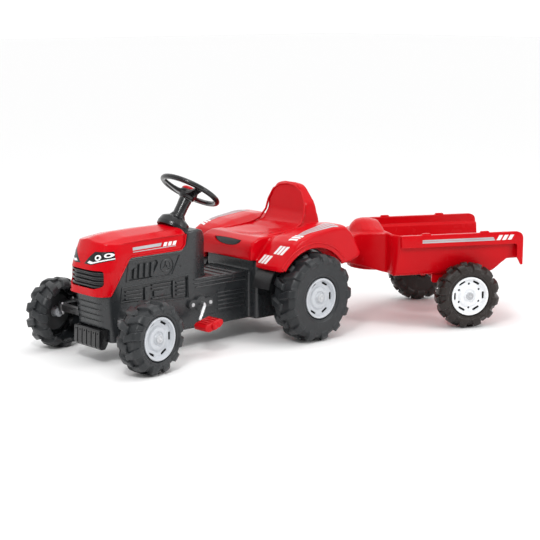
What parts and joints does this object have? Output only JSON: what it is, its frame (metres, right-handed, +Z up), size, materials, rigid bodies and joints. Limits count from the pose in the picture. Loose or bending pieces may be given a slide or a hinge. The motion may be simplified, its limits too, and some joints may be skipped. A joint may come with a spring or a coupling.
{
  "type": "pedal tractor with trailer",
  "caption": "Child's ride-on pedal tractor with steered front axle, chain-driven rear axle, moulded seat with fenders and a swinging two-wheeled trailer.",
  "frame": {"origin": "bottom centre of the bounding box, on the ground", "axes": "+X forward along the tractor, +Y to the driver's left, +Z up"},
  "size_m": [1.4954, 0.7508, 0.4899],
  "materials": {
    "red_shell": "glossy moulded",
    "red_tub": "glossy moulded",
    "red_trim": "satin moulded",
    "body_grey": "satin blow-moulded",
    "black_trim": "semi-gloss moulded",
    "tyre": "satin blow-moulded",
    "trailer_tyre": "satin blow-moulded",
    "disc": "silver-white moulded",
    "cap": "silver snap cap",
    "steel": "zinc plated"
  },
  "bodies": {
    "tractor": {"lower_body": "body_grey", "hood": "red_shell", "upper_grille": "black_trim", "front_weight": "black_trim", "column_cover": "black_trim", "front_beam": "steel", "crank_bearing_left": "body_grey", "crank_bearing_right": "body_grey", "bearing_screws": "steel", "side_screws": "steel", "axle_bushes": "body_grey", "seat_fender": "red_shell", "seat_vent": "black_trim", "mudguard_left": "black_trim", "mudguard_right": "black_trim", "hitch_bracket": "steel", "hitch_pin": "steel", "drive_chain": "steel"},
    "steering": {"steering_wheel": "black_trim", "wheel_pad": "red_trim", "steering_rod": "steel"},
    "tie_bar": {"tie_bar": "steel"},
    "drive_axle": {"rear_axle": "steel", "rear_sprocket": "steel", "rear_tyre_right": "tyre", "rear_disc_right": "disc", "rear_cap_right": "cap"},
    "rear_wheel_left": {"rear_tyre_left": "tyre", "rear_disc_left": "disc", "rear_cap_left": "cap"},
    "crank": {"pedal_crank": "steel", "front_sprocket": "steel"},
    "pedal_left": {"pedal_left": "red_trim"},
    "pedal_right": {"pedal_right": "red_trim"},
    "trailer": {"trailer_tub": "red_tub", "trailer_axle": "steel"},
    "knuckle_left": {"knuckle_left": "steel"},
    "front_wheel_left": {"front_tyre_left": "tyre", "front_disc_left": "disc", "front_cap_left": "cap"},
    "trailer_wheel_left": {"trailer_tyre_left": "trailer_tyre", "trailer_disc_left": "disc", "trailer_cap_left": "cap"},
    "knuckle_right": {"knuckle_right": "steel"},
    "front_wheel_right": {"front_tyre_right": "tyre", "front_disc_right": "disc", "front_cap_right": "cap"},
    "trailer_wheel_right": {"trailer_tyre_right": "trailer_tyre", "trailer_disc_right": "disc", "trailer_cap_right": "cap"}
  },
  "joints": [
    {"name": "steering_turn", "type": "hinge", "parent": "tractor", "child": "steering", "pos_m": [0.33548, -0.11139, 0.43692], "axis": [-0.5446, 0, 0.8387], "range_deg": [-42, 22]},
    {"name": "kingpin_left", "type": "hinge", "parent": "tractor", "child": "knuckle_left", "pos_m": [0.64448, 0.08161, 0.09992], "axis": [0, 0, 1], "range_deg": [-38, 20]},
    {"name": "front_wheel_left_spin", "type": "hinge", "parent": "knuckle_left", "child": "front_wheel_left", "pos_m": [0.64191, 0.09841, 0.09792], "axis": [-0.1513, 0.9885, 0], "continuous": true},
    {"name": "kingpin_right", "type": "hinge", "parent": "tractor", "child": "knuckle_right", "pos_m": [0.64448, -0.30439, 0.09992], "axis": [0, 0, 1], "range_deg": [-38, 20]},
    {"name": "front_wheel_right_spin", "type": "hinge", "parent": "knuckle_right", "child": "front_wheel_right", "pos_m": [0.64705, -0.3212, 0.09792], "axis": [-0.1513, 0.9885, 0], "continuous": true},
    {"name": "tie_bar_pivot", "type": "hinge", "parent": "knuckle_left", "child": "tie_bar", "pos_m": [0.60494, 0.07556, 0.13192], "axis": [0, 0, 1], "range_deg": [-20, 38]},
    {"name": "rear_axle_spin", "type": "hinge", "parent": "tractor", "child": "drive_axle", "pos_m": [0.06748, -0.11139, 0.12742], "axis": [0, 1, 0], "continuous": true},
    {"name": "rear_wheel_left_spin", "type": "hinge", "parent": "drive_axle", "child": "rear_wheel_left", "pos_m": [0.06748, 0.10761, 0.12742], "axis": [0, 1, 0], "continuous": true},
    {"name": "crank_spin", "type": "hinge", "parent": "tractor", "child": "crank", "pos_m": [0.37048, -0.11139, 0.12992], "axis": [0, 1, 0], "continuous": true},
    {"name": "pedal_left_turn", "type": "hinge", "parent": "crank", "child": "pedal_left", "pos_m": [0.40222, 0.04661, 0.08623], "axis": [0, 1, 0], "continuous": true},
    {"name": "pedal_right_turn", "type": "hinge", "parent": "crank", "child": "pedal_right", "pos_m": [0.33874, -0.26939, 0.17361], "axis": [0, 1, 0], "continuous": true},
    {"name": "trailer_swing", "type": "hinge", "parent": "tractor", "child": "trailer", "pos_m": [-0.06252, -0.11139, 0.19992], "axis": [0, 0, 1], "range_deg": [-6, 61]},
    {"name": "trailer_wheel_left_spin", "type": "hinge", "parent": "trailer", "child": "trailer_wheel_left", "pos_m": [-0.39111, 0.30021, 0.09792], "axis": [0.4679, 0.8838, 0], "continuous": true},
    {"name": "trailer_wheel_right_spin", "type": "hinge", "parent": "trailer", "child": "trailer_wheel_right", "pos_m": [-0.58764, -0.07097, 0.09792], "axis": [0.4679, 0.8838, 0], "continuous": true}
  ],
  "couplings": [
    {"joint": "kingpin_left", "follows": "steering_turn", "ratio": 0.885},
    {"joint": "kingpin_right", "follows": "steering_turn", "ratio": 0.885},
    {"joint": "tie_bar_pivot", "follows": "steering_turn", "ratio": -0.885},
    {"joint": "crank_spin", "follows": "rear_axle_spin", "ratio": 0.78947}
  ]
}
